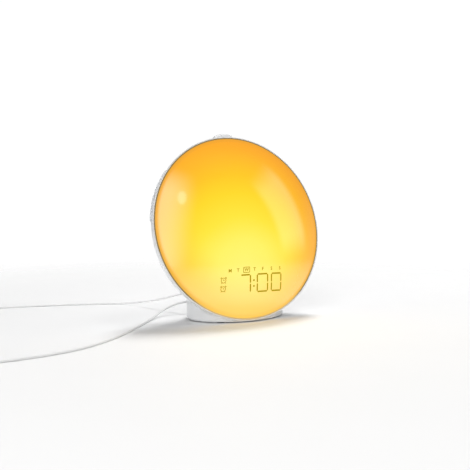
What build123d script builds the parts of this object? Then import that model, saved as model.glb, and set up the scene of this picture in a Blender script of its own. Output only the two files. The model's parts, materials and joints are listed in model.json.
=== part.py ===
from build123d import *
import os
from math import asin, atan2, cos, pi, radians, sin, sqrt, tan

os.makedirs("parts", exist_ok=True)

# Sunrise alarm clock: a glowing dome in a round housing that leans back on an oval foot. Millimetres.
# The clock's frame has +Z up, the face looks along -Y, and the origin is on the table under its middle.
# The face frame, used for everything inside the housing, has X across, Y backwards from the rim plane
# and Z up the face; face() carries a shape from it to the clock's frame.

# ---- the whole clock
TILT = 14.0                # degrees that the face leans back
RIM_RADIUS = 90.0          # middle of the dark seal round the dome
RIM_HEIGHT = RIM_RADIUS    # rim centre above the table: an upright face would just touch it
RIM_Y = -7.7               # rim centre, which puts the clock's depth evenly about Y = 0

# ---- dome
DOME_BULGE = 26.0          # how far the sphere through the rim stands out of the rim plane
DOME_WALL = 2.2
SEAL_WIDTH = 1.2
DOME_EDGE = RIM_RADIUS - SEAL_WIDTH / 2
LEDGE_Y = 2.4              # rim plane to the ledge that carries dome, seal and reflector
DOME_RADIUS = (RIM_RADIUS**2 + DOME_BULGE**2) / (2 * DOME_BULGE)
DOME_CENTRE = DOME_RADIUS - DOME_BULGE

# ---- housing bowl: a shoulder arc, then a wide shallow back
RIM_LIP = 1.6                      # housing outside the middle of the seal
OUTER_RADIUS = RIM_RADIUS + RIM_LIP
BOWL_DEPTH = 42.0
SHOULDER = 25.0
WALL = 2.5
SHOULDER_CENTRE = OUTER_RADIUS - SHOULDER
BACK_CENTRE = (SHOULDER_CENTRE**2 - (BOWL_DEPTH - SHOULDER) ** 2) / (2 * (BOWL_DEPTH - SHOULDER))
BACK_RADIUS = BOWL_DEPTH + BACK_CENTRE
LEDGE_RADIUS = RIM_RADIUS - 5.0
LEDGE_THICK = 2.0

# ---- foot, in the clock's frame
FOOT_X, FOOT_Y = 51.0, 35.7        # half axes of the oval
FOOT_CENTRE_Y = RIM_Y + 9.7
FOOT_BOTTOM = 0.8
FOOT_LIP = 2.2                     # top of the lip in front of the dome
SOLE_ROUND, SEAM_ROUND = 2.2, 3.0
SHOULDER_FRONT = (RIM_Y + 12.0, RIM_HEIGHT - 30.0)   # y, z on the slope down the foot's back
SHOULDER_REAR = (RIM_Y + 46.0, 26.0)
SEAM_LOW = 20.0                    # the back seams that get rounded start above this
CAVITY_FRONT, CAVITY_TOP = RIM_Y - 3.0, RIM_HEIGHT - 50.0
NECK_HALF, NECK_Y, NECK_Z = 22.0, (RIM_Y + 5.0, RIM_Y + 18.0), (8.0, RIM_HEIGHT - 54.0)
PLATE_BOTTOM, PLATE_TOP = 1.0, 4.0
PLATE_GAP = 0.3
PAD_RADIUS, PAD_TOP = 4.0, 1.6
FOOT_FRONT, FOOT_BACK = FOOT_CENTRE_Y - FOOT_Y, FOOT_CENTRE_Y + FOOT_Y
PAD_X, PAD_Y = (FOOT_X - 23.0, FOOT_X - 16.0), (FOOT_FRONT + 13.7, FOOT_BACK - 18.7)
PADS = [(side * x, y) for x, y in zip(PAD_X, PAD_Y) for side in (-1, 1)]
SCREW_X, SCREW_Y = (FOOT_X - 9.5, FOOT_X - 13.0), (FOOT_BACK - 23.2, FOOT_FRONT + 25.9)
BASE_SCREWS = [(side * x, y) for x, y in zip(SCREW_X, SCREW_Y) for side in (-1, 1)]
BASE_SCREW, BASE_HEAD, BASE_HEAD_TOP = 1.2, 2.4, 2.6

# ---- keys
KEY_PROUD = 1.2
KEY_LENGTH, KEY_WIDTH = 12.2, 8.4
KEY_GAP = 0.3
KEY_SLOPE = 28.8                   # degrees that a key's push direction leans back from the rim plane
KEY_ANGLES = [10.2, 19.0, 27.8, 36.6]   # above the face's horizontal, bottom key first
KEY_FLANGE = (20.3, 21.2)          # along the push direction, from the shoulder arc's centre
KEY_EAR = 11.2
KEY_STEM = 1.6
SWITCH_WELL_GAP = 0.08             # running clearance of a stem in its switch, on the radius
KEY_SWITCH = (14.6, 18.6)
KEY_BOARD = 1.6
EAR_STEP = 6.8                     # degrees from the end keys to the carrier's ears

# ---- snooze key on top
SNOOZE_Y = 14.0                    # behind the rim plane
SNOOZE_LENGTH, SNOOZE_WIDTH = 21.0, 9.6
SNOOZE_TOP = OUTER_RADIUS + 6.6    # crown above the face's axis
SNOOZE_CROWN = 28.6
SNOOZE_GAP = 0.35
TURRET_TOP, TURRET_WALL, TURRET_ROOF = OUTER_RADIUS + 2.0, 2.0, 1.5
TURRET_ROOT, TURRET_FLOOR = OUTER_RADIUS - 13.6, OUTER_RADIUS - 21.6   # of its outside and of its room
SNOOZE_FLANGE = 1.2
SNOOZE_SWITCH = (OUTER_RADIUS - 7.6, OUTER_RADIUS - 3.6)

# ---- display
DISPLAY_SINK = 9.0                 # display front behind the dome's outer surface
DISPLAY_Z = 34.0 - RIM_RADIUS      # middle of the display up the face
DISPLAY_HIGH = DISPLAY_Z + 22.0     # lights over the case stay above this
CASE_HALF, POCKET_HALF = 13.8, 12.2    # half heights of the case and of the recess in its front
CASE_WALL = 1.5
WINDOW_THICK, SEGMENT_THICK = 1.2, 0.8
DIGIT_WIDTH, DIGIT_HEIGHT, SEGMENT = 11.7, 16.5, 1.2
DIGIT_LEFTS = (-32.1, -15.6, 2.6, 19.1)
COLON_X = -0.6
DAY_Z, DAY_PITCH, DAY_SIZE = 10.2, 9.0, 3.6    # row of weekday marks above the display's middle
ALARM_X, ALARM_RADIUS = -35.3, 2.2
DISPLAY_HALF = 2.7 - ALARM_X       # half width of the case, just past the alarm marks

# ---- lights
REFLECTOR_RADIUS, REFLECTOR_THICK = RIM_RADIUS - 3.0, 1.5
LED_BOARD_RADIUS, LED_BOARD_THICK = RIM_RADIUS - 16.0, 1.6
LED_RINGS = {20.0: 6, 40.0: 12, 60.0: 18}
LED_SIZE, LED_HEIGHT, LED_HOLE = 3.0, 2.2, 2.6
PLATE_SCREW, PLATE_SCREW_RING = 1.0, 50.0
PLATE_SCREW_TURNS = (5, 65, 125, 185)

# ---- speaker, on the back of the bowl
SPEAKER_Z = 30.0
SPEAKER_SEAT = BOWL_DEPTH - 13.0   # face of the boss that it bolts to
SPEAKER_RADIUS, SPEAKER_HOLE = 23.0, 17.5
SPEAKER_SCREW_RING, SPEAKER_SCREW = 20.3, 0.9
GRILLE_HOLE, GRILLE_PITCH, GRILLE_RINGS = 1.1, 4.6, 3
MAGNET_TOP = BOWL_DEPTH - 24.0     # face of the magnet that the basket's floor lies on
CONE_RADIUS, BASKET_MOUTH = 15.0, 17.2
COIL_INNER, COIL_OUTER = 5.4, 6.0  # radii of the voice coil

# ---- main board
BOARD_X, BOARD_Z = (-48.0, 48.0), (-43.0, -1.0)
BOARD_THICK = 1.6
BOARD_Y = (BOWL_DEPTH - 18.0, BOWL_DEPTH - 18.0 + BOARD_THICK)
BOARD_POSTS = [(-40, -38), (40, -38), (-40, -6), (40, -6)]
BOARD_SCREW = 1.1

# ---- power socket and aerial outlet in the foot's back
JACK_X, JACK_Z = -12.0, 12.0
JACK_FACE = 31.0                   # front of the socket's body
JACK_RECESS = 34.6                 # flat floor of the recess round its mouth
JACK_LENGTH = 13.5
JACK_BORE, BARREL = 2.85, 2.75     # radii: socket mouth and plug barrel
GROMMET_X, GROMMET_Z = -28.0, 21.0
GROMMET_RADIUS = 2.4

# ---- coin cell and its cap in the base
CELL_X, CELL_Y = 22.0, 8.0
CELL_RADIUS, CELL_THICK = 10.0, 3.2
CAP_RADIUS, CAP_GAP = 12.2, 0.3
CAP_BOTTOM, CAP_TOP = 1.2, 3.4
CAP_LEDGE = 2.3
LUG_RADIUS, LUG_SPAN = 13.6, 24.0
SLOT_SPAN, CAP_TURN = 30.0, 40.0
CONTACT_THICK = 0.3
HOLDER_WALL = 1.9

# ---- power plug, a right-angled barrel plug, and the lead's other end
PLUG_HALF, PLUG_BACK = 5.0, 46.6
RELIEF_START, RELIEF_END, RELIEF_THICK = -17.0, -31.0, 3.4
USB_BODY = (30.0, 15.6, 8.0)
USB_SHELL = (12.0, 12.0, 4.5)
USB_RELIEF = 12.0

# ---- cords: hand-chosen routes of their centrelines, in the clock's frame
POWER_WIDTH = 2.0
POWER_ROUTE = [
    (-31.0, 41.5, 12.0), (-38.0, 41.5, 12.0), (-46.5, 41.9, 10.6), (-55.5, 41.0, 8.0), (-65.5, 37.0, 4.9),
    (-78.5, 25.5, 2.0), (-96.5, 4.0, 1.0), (-118.5, -21.5, 1.0), (-146.0, -50.0, 1.0), (-181.0, -74.5, 1.0),
    (-221.0, -85.2, 1.0), (-261.0, -87.2, 1.0),
]
POWER_COIL = (-261.8, -74.2)
AERIAL_WIDTH = 1.8
AERIAL_ROUTE = [
    (-27.164, 30.023, 21.0), (-30.507, 37.292, 21.0), (-34.3, 45.0, 20.0), (-38.4, 53.4, 17.9),
    (-45.6, 66.0, 13.6), (-52.5, 84.0, 8.8), (-60.5, 106.0, 4.2), (-72.0, 124.5, 1.3), (-94.0, 137.0, 0.9),
    (-131.0, 149.5, 0.9), (-175.0, 160.0, 0.9), (-215.0, 166.2, 0.9),
]
AERIAL_COIL = (-213.2, 177.8)
COIL_ACROSS = 11                   # a put-away coil's middle, in cord widths
COIL_SIDE, COIL_LAYERS = 3, 5      # turns side by side, and layers of them
TIE_THICK, TIE_WIDTH = 0.5, 5.0
USB_TURN, USB_AWAY = 90.0, 9.0     # the USB plug's direction, and its relief's way from where the lead leaves


# ---------------------------------------------------------------- helpers
def save(node, shape):
    export_step(shape, f"parts/{node}.step")


def face(shape):
    """Carries a shape from the face frame to the clock's frame."""
    return Pos(0, RIM_Y, RIM_HEIGHT) * Rot(-TILT, 0, 0) * shape


def block(x, y, z):
    """A box between two limits along each axis."""
    return Pos(sum(x) / 2, sum(y) / 2, sum(z) / 2) * Box(x[1] - x[0], y[1] - y[0], z[1] - z[0])


def rod(radius, y, x=0.0, z=0.0):
    """A cylinder along Y between two limits."""
    return Pos(x, sum(y) / 2, z) * Rot(90, 0, 0) * Cylinder(radius, y[1] - y[0])


def post(radius, z, x=0.0, y=0.0):
    """A cylinder along Z between two limits."""
    return Pos(x, y, sum(z) / 2) * Cylinder(radius, z[1] - z[0])


def turned(curves):
    """A closed outline of radius and Y, turned about the Y axis."""
    return revolve(make_face(curves), axis=Axis.Y)


def side_prism(points, half_width):
    """An outline of Y and Z, as wide as twice half_width along X."""
    outline = Plane.YZ * make_face(Polyline(*points, close=True))
    return extrude(outline, amount=half_width, both=True)


def pill(length, width, z, x=0.0, y=0.0):
    """An upright plug with round ends along X."""
    return Pos(x, y, z[0]) * extrude(SlotOverall(length, width), amount=z[1] - z[0])


# ---------------------------------------------------------------- dome, seal, housing
def sphere_y(radius, distance):
    """Y of the dome's sphere of that radius, at a distance from the axis."""
    return DOME_CENTRE - sqrt(radius**2 - distance**2)


def diffuser():
    """The opal dome, with a short skirt that stands on the housing's ledge."""
    inner = DOME_RADIUS - DOME_WALL
    inside = DOME_EDGE - DOME_WALL
    half = DOME_EDGE / 2
    shell = turned(
        ThreePointArc((0, -DOME_BULGE), (half, sphere_y(DOME_RADIUS, half)),
                      (DOME_EDGE, sphere_y(DOME_RADIUS, DOME_EDGE)))
        + Polyline((DOME_EDGE, sphere_y(DOME_RADIUS, DOME_EDGE)), (DOME_EDGE, LEDGE_Y), (inside, LEDGE_Y),
                   (inside, sphere_y(inner, inside)))
        + ThreePointArc((inside, sphere_y(inner, inside)), (half, sphere_y(inner, half)),
                        (0, DOME_WALL - DOME_BULGE))
        + Line((0, DOME_WALL - DOME_BULGE), (0, -DOME_BULGE))
    )
    return face(shell)


def rim_seal():
    """The dark ring that closes the joint between the dome and the housing."""
    return face(rod(DOME_EDGE + SEAL_WIDTH, (-0.1, LEDGE_Y)) - rod(DOME_EDGE, (-1, LEDGE_Y + 1)))


def bowl(inset):
    """The solid of the housing's bowl behind the rim plane, shrunk by inset."""
    shoulder = SHOULDER - inset
    back = BACK_RADIUS - inset
    join = atan2(BACK_CENTRE, SHOULDER_CENTRE)
    middle = (join + pi / 2) / 2
    rim = (SHOULDER_CENTRE + shoulder, 0)
    shoulder_middle = (SHOULDER_CENTRE + shoulder * cos(join / 2), shoulder * sin(join / 2))
    joint = (SHOULDER_CENTRE + shoulder * cos(join), shoulder * sin(join))
    back_middle = (back * cos(middle), back * sin(middle) - BACK_CENTRE)
    centre = (0, BOWL_DEPTH - inset)
    return turned(
        Line((0, 0), rim) + ThreePointArc(rim, shoulder_middle, joint)
        + ThreePointArc(joint, back_middle, centre) + Line(centre, (0, 0))
    )


def face_plane_y(depth, z):
    """Y, in the clock's frame, of the plane at that depth behind the rim plane, at height z."""
    up = (z - RIM_HEIGHT + depth * sin(radians(TILT))) / cos(radians(TILT))
    return RIM_Y + depth * cos(radians(TILT)) + up * sin(radians(TILT))


def oval(half_x, half_y, z):
    """An upright oval prism about the foot's centre."""
    return Pos(0, FOOT_CENTRE_Y, z[0]) * extrude(Ellipse(half_x, half_y), amount=z[1] - z[0])


def foot_block():
    """The foot's outside: an oval, cut back under the dome and sloped down at the back."""
    front = FOOT_CENTRE_Y - FOOT_Y - 1
    back = SHOULDER_REAR[0]
    profile = side_prism(
        [
            (front, FOOT_BOTTOM), (front, FOOT_LIP), (face_plane_y(1.0, FOOT_LIP), FOOT_LIP),
            (face_plane_y(1.0, SHOULDER_FRONT[1]), SHOULDER_FRONT[1]), SHOULDER_FRONT, SHOULDER_REAR,
            (back, FOOT_BOTTOM),
        ],
        FOOT_X + 1,
    )
    return oval(FOOT_X, FOOT_Y, (FOOT_BOTTOM, SHOULDER_FRONT[1] + 1)) & profile


def sole_trim():
    """The ring that rounding the foot's lower edge takes off."""
    top = FOOT_BOTTOM + SOLE_ROUND
    sole = oval(FOOT_X, FOOT_Y, (FOOT_BOTTOM, top + 1))
    return oval(FOOT_X + 1, FOOT_Y + 1, (0, top)) - fillet(sole.edges().group_by(Axis.Z)[0], SOLE_ROUND)


def foot_cavity():
    """The room in the foot, open below, under and behind the bowl."""
    slope = atan2(SHOULDER_FRONT[1] - SHOULDER_REAR[1], SHOULDER_REAR[0] - SHOULDER_FRONT[0])
    drop = WALL / cos(slope)
    profile = side_prism(
        [
            (CAVITY_FRONT, 0), (CAVITY_FRONT, CAVITY_TOP), (SHOULDER_FRONT[0], SHOULDER_FRONT[1] - drop),
            (SHOULDER_REAR[0], SHOULDER_REAR[1] - drop), (SHOULDER_REAR[0], 0),
        ],
        FOOT_X,
    )
    return oval(FOOT_X - WALL, FOOT_Y - WALL, (0, SHOULDER_FRONT[1])) & profile


def key_place(angle, side):
    """Carries a shape whose +Z is a key's outward push axis into the face frame. side is -1 or 1."""
    around, slope = radians(angle), radians(KEY_SLOPE)
    outward = Vector(side * cos(around) * cos(slope), sin(slope), sin(around) * cos(slope))
    along = Vector(-side * sin(around), 0, cos(around))
    centre = Vector(side * cos(around), 0, sin(around)) * SHOULDER_CENTRE
    return Plane(origin=centre, x_dir=along, z_dir=outward).location


def key_prism(length, width, z, radius):
    return Pos(0, 0, z[0]) * extrude(RectangleRounded(length, width, radius), amount=z[1] - z[0])


def key_openings(side):
    """The slots that a side's keys pass through."""
    size = (KEY_LENGTH + 2 * KEY_GAP, KEY_WIDTH + 2 * KEY_GAP)
    return [key_place(a, side) * key_prism(*size, (KEY_FLANGE[1], SHOULDER + 6), 2.3) for a in KEY_ANGLES]


def key_stops(side):
    """Flat pads inside the band that a side's key flanges stop against."""
    pads = []
    inner = KEY_WIDTH / 2 + KEY_GAP + 0.1
    for angle in KEY_ANGLES:
        for edge in (-1, 1):
            limits = sorted((edge * inner, edge * KEY_EAR / 2))
            pad = block((-KEY_LENGTH / 2, KEY_LENGTH / 2), limits, (KEY_FLANGE[1], SHOULDER - 1.5))
            pads.append(key_place(angle, side) * pad)
    return pads


def carrier_angles():
    """Angles of a key carrier's facets, its two mounting ears last."""
    return KEY_ANGLES + [KEY_ANGLES[0] - EAR_STEP, KEY_ANGLES[-1] + EAR_STEP]


def carrier_posts(side):
    top = SHOULDER - 1.0
    return [key_place(a, side) * post(2.0, (KEY_SWITCH[0], top)) for a in carrier_angles()[-2:]]


def turret():
    """The raised oval collar round the snooze key, with its room and its opening."""
    room = (SNOOZE_LENGTH + 3.8, SNOOZE_WIDTH + 3.2)
    outside = pill(room[0] + 2 * TURRET_WALL, room[1] + 2 * TURRET_WALL, (TURRET_ROOT, TURRET_TOP), y=SNOOZE_Y)
    inside = pill(*room, (TURRET_FLOOR, TURRET_TOP - TURRET_ROOF), y=SNOOZE_Y)
    opening = pill(SNOOZE_LENGTH + 2 * SNOOZE_GAP, SNOOZE_WIDTH + 2 * SNOOZE_GAP,
                   (TURRET_TOP - 3, TURRET_TOP + 1), y=SNOOZE_Y)
    return outside, inside + opening


def snooze_hangers():
    """Two brackets under the turret that hold the snooze key's board."""
    shelf_top = SNOOZE_SWITCH[0] - KEY_BOARD
    half = (SNOOZE_LENGTH + 3.8) / 2
    hangers = []
    for side in (-1, 1):
        wall = block(sorted((side * half, side * (half + 2.2))), (10, 18), (shelf_top - 2, shelf_top + 4))
        shelf = block(sorted((side * (half - 3), side * (half + 2.2))), (10, 18), (shelf_top - 2, shelf_top))
        hangers.append(wall + shelf)
    return hangers


def grille_holes():
    """Rings of sound holes through the bowl's back."""
    places = [(0.0, 0.0)]
    for ring in range(1, GRILLE_RINGS + 1):
        for step in range(6 * ring):
            turn = 2 * pi * step / (6 * ring)
            places.append((ring * GRILLE_PITCH * cos(turn), ring * GRILLE_PITCH * sin(turn)))
    return [rod(GRILLE_HOLE, (BOWL_DEPTH - 12, BOWL_DEPTH + 5), x, SPEAKER_Z + z) for x, z in places]


def speaker_boss():
    """The round seat for the speaker."""
    boss = rod(SPEAKER_RADIUS, (SPEAKER_SEAT, BOWL_DEPTH), 0, SPEAKER_Z)
    boss -= rod(SPEAKER_HOLE, (SPEAKER_SEAT - 1, BOWL_DEPTH), 0, SPEAKER_Z)
    return boss & bowl(WALL / 2)


def speaker_screw_rods(radius, y):
    rods = []
    for step in range(4):
        turn = radians(45 + 90 * step)
        x, z = SPEAKER_SCREW_RING * cos(turn), SPEAKER_Z + SPEAKER_SCREW_RING * sin(turn)
        rods.append(rod(radius, y, x, z))
    return rods


def oval_y(x, half_x=FOOT_X, half_y=FOOT_Y):
    """Y of the back half of an oval about the foot's centre, at x."""
    return FOOT_CENTRE_Y + half_y * sqrt(1 - (x / half_x) ** 2)


def grommet_place():
    """Carries a shape whose +Z is the aerial outlet's axis to the foot's back wall."""
    wall_y = oval_y(GROMMET_X)
    outward = Vector(GROMMET_X / FOOT_X**2, (wall_y - FOOT_CENTRE_Y) / FOOT_Y**2, 0).normalized()
    return Plane(origin=(GROMMET_X, wall_y, GROMMET_Z), x_dir=(0, 0, 1), z_dir=outward).location


def rounded_outside():
    """Bowl and foot joined, with the foot's lower edge and back seams rounded."""
    outside = face(bowl(0)) + foot_block()
    boxes = [(edge, edge.bounding_box()) for edge in outside.edges()]
    seams = [
        edge for edge, box in boxes
        if edge.geom_type != GeomType.LINE and box.max.Y > RIM_Y + 8
        and box.min.Z > SEAM_LOW and box.max.Z < SHOULDER_FRONT[1] + 2
    ]
    return fillet(seams, SEAM_ROUND) - sole_trim()


def rear_housing():
    """The white bowl and foot in one moulding."""
    housing = rounded_outside() - face(bowl(WALL)) - (foot_cavity() - face(bowl(0)))
    seat = block((JACK_X - 8, JACK_X + 8), (JACK_FACE, oval_y(JACK_X) - 1), (JACK_Z - 7, JACK_Z + 7))
    turret_out, turret_in = turret()
    ledge = rod(DOME_EDGE + SEAL_WIDTH + 0.2, (LEDGE_Y, LEDGE_Y + LEDGE_THICK)) - rod(LEDGE_RADIUS, (0, 9))
    housing += [face(turret_out - bowl(WALL)), face(ledge & bowl(WALL / 2)), seat]
    housing -= face(turret_in)
    housing -= face(rod(DOME_EDGE + SEAL_WIDTH, (-4, LEDGE_Y)))
    housing += [face(hanger) for hanger in snooze_hangers()]
    for side in (-1, 1):
        housing += [face(shape) for shape in key_stops(side) + carrier_posts(side)]
        housing -= [face(shape) for shape in key_openings(side)]
    housing += face(speaker_boss())
    pilots = speaker_screw_rods(SPEAKER_SCREW, (SPEAKER_SEAT - 1, SPEAKER_SEAT + 4))
    housing -= [face(hole) for hole in grille_holes() + pilots]
    for x, z in BOARD_POSTS:
        stud = rod(3.0, (BOARD_Y[1], BOWL_DEPTH), x, z) & bowl(WALL / 2)
        housing += face(stud - rod(BOARD_SCREW, (BOARD_Y[1] - 1, BOARD_Y[1] + 3), x, z))
    for x, y in BASE_SCREWS:
        housing += post(3.6, (PLATE_TOP, PLATE_TOP + 8), x, y) & oval(FOOT_X - 1, FOOT_Y - 1, (0, 20))
        housing -= post(BASE_SCREW, (PLATE_TOP - 1, PLATE_TOP + 6), x, y)
    housing -= block((-NECK_HALF, NECK_HALF), NECK_Y, NECK_Z)
    housing -= block((JACK_X - 6, JACK_X + 6), (JACK_RECESS, JACK_RECESS + 9), (JACK_Z - 6, JACK_Z + 6))
    housing -= rod(JACK_BORE + 0.6, (JACK_FACE - 1, JACK_RECESS + 1), JACK_X, JACK_Z)
    housing -= grommet_place() * post(GROMMET_RADIUS, (-9, 2))
    housing -= [post(PAD_RADIUS, (-1, PAD_TOP), x, y) for x, y in PADS[:2]]
    return housing


# ---------------------------------------------------------------- base
def base_plate():
    """The plate that closes the foot, with the coin cell's opening."""
    plate = oval(FOOT_X - WALL - PLATE_GAP, FOOT_Y - WALL - PLATE_GAP, (PLATE_BOTTOM, PLATE_TOP))
    plate &= block((-60, 60), (CAVITY_FRONT + PLATE_GAP, 60), (0, 9))
    plate -= face(bowl(-PLATE_GAP))
    for x, y in BASE_SCREWS:
        plate -= post(BASE_SCREW + 0.3, (0, 9), x, y)
        plate -= post(BASE_HEAD + 0.2, (0, BASE_HEAD_TOP), x, y)
    plate -= [post(PAD_RADIUS, (0, PAD_TOP), x, y) for x, y in PADS[2:]]
    plate -= post(CAP_RADIUS + CAP_GAP, (0, 9), CELL_X, CELL_Y)
    plate -= post(LUG_RADIUS + CAP_GAP, (CAP_LEDGE, 9), CELL_X, CELL_Y)
    for turn in (CAP_TURN, CAP_TURN + 180):
        plate -= cell_sector(LUG_RADIUS + CAP_GAP, turn, SLOT_SPAN, (0, 9))
    return plate


def cell_sector(radius, middle, span, z):
    """A wedge about the coin cell's axis, middle and span in degrees."""
    start, end = radians(middle - span / 2), radians(middle + span / 2)
    reach = radius / cos(radians(span / 2)) + 1
    wedge = make_face(Polyline((0, 0), (reach * cos(start), reach * sin(start)),
                               (reach * cos(end), reach * sin(end)), close=True))
    wedge = Pos(CELL_X, CELL_Y, z[0]) * extrude(wedge, amount=z[1] - z[0])
    return wedge & post(radius, z, CELL_X, CELL_Y)


def battery_door():
    """The quarter-turn cap under the coin cell, with two lugs and a coin slot."""
    cap = post(CAP_RADIUS, (CAP_BOTTOM, CAP_TOP), CELL_X, CELL_Y)
    for turn in (0, 180):
        cap += cell_sector(LUG_RADIUS, turn, LUG_SPAN, (CAP_LEDGE, CAP_TOP))
    coin_slot = block((CELL_X - 6, CELL_X + 6), (CELL_Y - 0.9, CELL_Y + 0.9), (0, CAP_BOTTOM + 1.2))
    return cap - coin_slot


def coin_cell():
    cell = post(CELL_RADIUS, (CAP_TOP, CAP_TOP + CELL_THICK), CELL_X, CELL_Y)
    return fillet(cell.edges().filter_by(GeomType.CIRCLE), 0.4)


def cell_holder():
    """The cup over the coin cell, standing on the base plate."""
    roof = CAP_TOP + CELL_THICK + CONTACT_THICK
    cup = post(LUG_RADIUS + HOLDER_WALL, (PLATE_TOP, roof + 1.5), CELL_X, CELL_Y)
    return cup - post(CELL_RADIUS + CONTACT_THICK, (0, roof), CELL_X, CELL_Y)


def cell_contacts():
    """The plate over the cell and the clip against its rim."""
    low = CAP_TOP + CELL_THICK
    plate = post(CELL_RADIUS - 2, (low, low + CONTACT_THICK), CELL_X, CELL_Y)
    band = post(CELL_RADIUS + CONTACT_THICK, (PLATE_TOP + 0.5, low - 0.6), CELL_X, CELL_Y)
    band -= post(CELL_RADIUS, (0, 9), CELL_X, CELL_Y)
    clip = band & cell_sector(CELL_RADIUS + 1, 90, 50, (0, 9))
    return Compound(children=[*plate.solids(), *clip.solids()])


def screw(radius, head_radius, shank, head):
    """An upright screw, head down, between its shank's and its head's limits along Z."""
    body = post(radius, shank) + post(head_radius, head)
    return body - post(radius * 0.7, (head[0] - 1, head[0] + 0.6))


def base_screws():
    driver = screw(BASE_SCREW, BASE_HEAD, (BASE_HEAD_TOP, PLATE_TOP + 5.5), (BASE_HEAD_TOP - 1.4, BASE_HEAD_TOP))
    return Compound(children=[solid for x, y in BASE_SCREWS for solid in (Pos(x, y, 0) * driver).solids()])


def rubber_feet():
    return Compound(children=[solid for x, y in PADS for solid in post(PAD_RADIUS, (0, PAD_TOP), x, y).solids()])


# ---------------------------------------------------------------- keys
def side_key(angle, side):
    """One key of the band: a cap that follows the band, a flange behind it and a stem."""
    place = key_place(angle, side)
    cap = place * key_prism(KEY_LENGTH, KEY_WIDTH, (KEY_FLANGE[0], SHOULDER + 5), 2.0) & bowl(-KEY_PROUD)
    crown = cap.faces().filter_by(GeomType.TORUS)
    cap = fillet(crown.edges(), 0.5)
    flange = place * key_prism(KEY_LENGTH, KEY_EAR, KEY_FLANGE, 1.5)
    stem = place * post(KEY_STEM, (KEY_SWITCH[1] - 1.2, KEY_FLANGE[0]))
    return face(cap + flange + stem)


def side_switches(side):
    """The switch bodies under a side's keys, each with a well for its key's stem."""
    low, high = KEY_SWITCH
    body = block((-3, 3), (-3, 3), (low, high)) - post(KEY_STEM + SWITCH_WELL_GAP, (high - 2.0, high + 1))
    placed = [face(key_place(a, side) * body) for a in KEY_ANGLES]
    return Compound(children=[solid for shape in placed for solid in shape.solids()])


def key_carrier(side):
    """The faceted strip under a side's switches, with an ear at each end."""
    low = KEY_SWITCH[0] - KEY_BOARD
    facets = [key_place(a, side) * block((-6.3, 6.3), (-4, 4), (low, KEY_SWITCH[0])) for a in KEY_ANGLES]
    facets += [key_place(a, side) * block((-4.6, 4.6), (-4, 4), (low, KEY_SWITCH[0])) for a in carrier_angles()[-2:]]
    strip = facets[0]
    for facet in facets[1:]:
        strip += facet
    for angle in KEY_ANGLES:
        strip -= key_place(angle, side) * block((-9, 9), (-6, 6), (KEY_SWITCH[0], SHOULDER))
    for angle in carrier_angles()[-2:]:
        strip -= key_place(angle, side) * block((-3, 3), (-6, 6), (KEY_SWITCH[0], SHOULDER))
    return face(strip)


def snooze_key():
    """The crowned key on top, its flange under the turret's roof, and its stem."""
    roof = TURRET_TOP - TURRET_ROOF
    cap = pill(SNOOZE_LENGTH, SNOOZE_WIDTH, (roof - SNOOZE_FLANGE, SNOOZE_TOP + 1), y=SNOOZE_Y)
    cap &= Pos(0, SNOOZE_Y, SNOOZE_TOP - SNOOZE_CROWN) * Sphere(SNOOZE_CROWN)
    cap = fillet(cap.faces().filter_by(GeomType.SPHERE).edges(), 0.8)
    flange = pill(SNOOZE_LENGTH + 2.6, SNOOZE_WIDTH + 2.0, (roof - SNOOZE_FLANGE, roof), y=SNOOZE_Y)
    stem = post(KEY_STEM, (SNOOZE_SWITCH[1] - 1.0, roof - SNOOZE_FLANGE), y=SNOOZE_Y)
    return face(cap + flange + stem)


def snooze_switch():
    low, high = SNOOZE_SWITCH
    body = block((-3, 3), (SNOOZE_Y - 3, SNOOZE_Y + 3), SNOOZE_SWITCH)
    return face(body - post(KEY_STEM + SWITCH_WELL_GAP, (high - 2.3, high + 1), y=SNOOZE_Y))


def snooze_board():
    half = SNOOZE_LENGTH / 2 + 0.3
    low = SNOOZE_SWITCH[0] - KEY_BOARD
    return face(block((-half, half), (SNOOZE_Y - 3.8, SNOOZE_Y + 3.8), (low, SNOOZE_SWITCH[0])))


# ---------------------------------------------------------------- lights
def led_places():
    """X and Z of the lights, rings about the middle, leaving out those behind the display."""
    places = [(0.0, 0.0)]
    for radius, count in LED_RINGS.items():
        for step in range(count):
            turn = 2 * pi * (step + 0.5) / count
            places.append((radius * cos(turn), radius * sin(turn)))
    return [(x, z) for x, z in places if abs(x) > DISPLAY_HALF + 4 or z > DISPLAY_HIGH]


def ribbon_slot(y):
    return block((-7, 7), y, (DISPLAY_Z - 6, DISPLAY_Z - 3))


def reflector():
    """The white plate behind the dome, with a hole for each light."""
    y = (LEDGE_Y - REFLECTOR_THICK, LEDGE_Y)
    plate = rod(REFLECTOR_RADIUS, y) - ribbon_slot((-1, 5))
    plate -= [rod(LED_HOLE, (-1, 5), x, z) for x, z in led_places()]
    plate -= [rod(PLATE_SCREW, (-1, 5), x, z) for x, z in plate_screw_places()]
    return face(plate)


def led_board():
    """The round board behind the reflector."""
    plate = rod(LED_BOARD_RADIUS, (LEDGE_Y, LEDGE_Y + LED_BOARD_THICK)) - ribbon_slot((-1, 5))
    plate -= [rod(PLATE_SCREW + 0.2, (-1, 5), x, z) for x, z in plate_screw_places()]
    return face(plate)


def leds():
    low = LEDGE_Y - LED_HEIGHT
    half = LED_SIZE / 2
    lamps = [face(block((x - half, x + half), (low, LEDGE_Y), (z - half, z + half))) for x, z in led_places()]
    return Compound(children=[solid for lamp in lamps for solid in lamp.solids()])


def plate_screw_places():
    turns = [radians(turn) for turn in PLATE_SCREW_TURNS]
    return [(PLATE_SCREW_RING * cos(turn), PLATE_SCREW_RING * sin(turn)) for turn in turns]


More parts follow.
